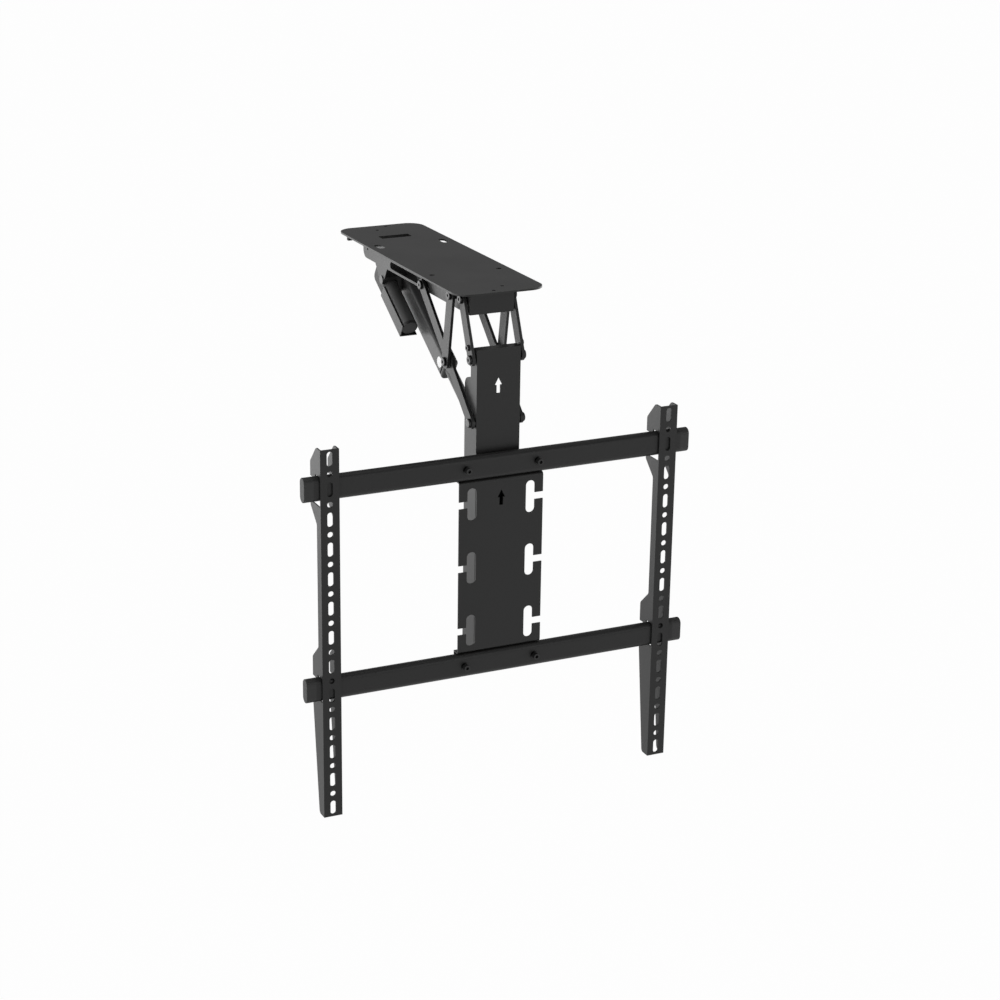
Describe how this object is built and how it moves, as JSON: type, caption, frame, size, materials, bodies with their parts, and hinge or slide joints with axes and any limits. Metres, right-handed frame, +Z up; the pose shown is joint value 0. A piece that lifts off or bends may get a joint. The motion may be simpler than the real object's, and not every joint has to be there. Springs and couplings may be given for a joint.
{
  "type": "motorised flip-down ceiling television mount",
  "caption": "Ceiling plate and channel with a linkage and a linear actuator that swing a television frame between hanging upright and folded up near the ceiling.",
  "frame": {"origin": "centre of the ceiling plate's top face, where it meets the ceiling", "axes": "+Z up; the screen faces -Y when it hangs down; +X is to the right seen from the front"},
  "size_m": [0.684, 0.5391, 0.8514],
  "materials": {
    "coated_steel": "fine-texture dark grey powder coat",
    "black_plastic": "matt moulded black",
    "white_plastic": "plain moulded nylon",
    "plated_steel": "dark plated, satin",
    "black_screw": "black oxide",
    "anodised_aluminium": "dark anodised, satin",
    "motor_paint": "satin painted can",
    "brass": "machined"
  },
  "bodies": {
    "ceiling_frame": {"ceiling_plate": "coated_steel", "carrier_channel": "coated_steel", "cable_clip": "black_plastic", "rocker_pivot_bolts": "plated_steel", "link_pivot_bolts": "plated_steel", "pivot_nuts": "plated_steel", "rocker_spacers": "plated_steel", "link_spacers": "plated_steel", "trunnion_pins": "plated_steel"},
    "rockers": {"rocker_left": "coated_steel", "rocker_right": "coated_steel", "knee_bolts": "plated_steel", "knee_nuts": "plated_steel"},
    "main_arms": {"main_arm_left": "coated_steel", "main_arm_right": "coated_steel", "slot_pin_caps": "plated_steel"},
    "tv_frame": {"tv_arm": "coated_steel", "lower_axle": "plated_steel", "lower_axle_spacers": "plated_steel", "link_arm_nuts": "plated_steel", "rod_pin_seats": "plated_steel", "hanger_plate": "coated_steel", "hanger_spacer": "coated_steel", "top_rail": "coated_steel", "bottom_rail": "coated_steel", "rail_end_caps": "black_plastic", "rail_bolts": "black_screw", "rail_washers": "plated_steel", "rail_nuts": "plated_steel"},
    "left_bracket": {"bracket_left": "coated_steel"},
    "right_bracket": {"bracket_right": "coated_steel"},
    "front_links": {"front_link_left": "coated_steel", "front_link_right": "coated_steel", "link_arm_bolts": "plated_steel", "stop_studs": "black_screw"},
    "slot_carriage": {"slot_axle": "plated_steel", "slot_rollers": "black_plastic"},
    "actuator_body": {"actuator_tube": "anodised_aluminium", "tube_end_cap": "black_plastic", "tube_plug": "white_plastic", "lead_screw": "plated_steel", "motor_can": "motor_paint", "motor_cap": "black_plastic", "gearbox_housing": "black_plastic", "motor_tray": "coated_steel"},
    "rod_body": {"push_rod": "anodised_aluminium", "rod_eye": "anodised_aluminium", "rod_pin": "plated_steel", "drive_nut": "brass"}
  },
  "joints": [
    {"name": "lift", "type": "hinge", "parent": "ceiling_frame", "child": "rockers", "pos_m": [0, -0.1703, -0.0218], "axis": [1, 0, 0], "range_deg": [0, 54.4]},
    {"name": "knee", "type": "hinge", "parent": "rockers", "child": "main_arms", "pos_m": [0, -0.1514, -0.13686], "axis": [1, 0, 0], "range_deg": [-82.22, 0]},
    {"name": "screen_pivot", "type": "hinge", "parent": "main_arms", "child": "tv_frame", "pos_m": [0, -0.23838, -0.21735], "axis": [1, 0, 0], "range_deg": [0, 102.83]},
    {"name": "link_swing", "type": "hinge", "parent": "ceiling_frame", "child": "front_links", "pos_m": [0, -0.2003, -0.0218], "axis": [1, 0, 0], "range_deg": [-33.12, 0]},
    {"name": "axle_slide", "type": "slide", "parent": "ceiling_frame", "child": "slot_carriage", "axis": [0, 1, 0], "range_m": [0, 0.12065]},
    {"name": "actuator_tilt", "type": "hinge", "parent": "ceiling_frame", "child": "actuator_body", "pos_m": [0, 0.1467, -0.069], "axis": [1, 0, 0], "range_deg": [-26.08, 0]},
    {"name": "rod_slide", "type": "slide", "parent": "actuator_body", "child": "rod_body", "axis": [0, -0.8518, -0.5239], "range_m": [-0.18377, 0]},
    {"name": "left_bracket_slide", "type": "slide", "parent": "tv_frame", "child": "left_bracket", "axis": [1, 0, 0], "range_m": [-0.01, 0.2]},
    {"name": "right_bracket_slide", "type": "slide", "parent": "tv_frame", "child": "right_bracket", "axis": [-1, 0, 0], "range_m": [-0.01, 0.2]}
  ],
  "couplings": [
    {"joint": "knee", "follows": "lift", "ratio": -1.5114},
    {"joint": "screen_pivot", "follows": "lift", "ratio": 1.8901},
    {"joint": "link_swing", "follows": "lift", "ratio": -0.60864},
    {"joint": "axle_slide", "follows": "lift", "m_per_rad": 0.12707},
    {"joint": "actuator_tilt", "follows": "lift", "ratio": -0.47931},
    {"joint": "rod_slide", "follows": "lift", "m_per_rad": -0.19355}
  ]
}
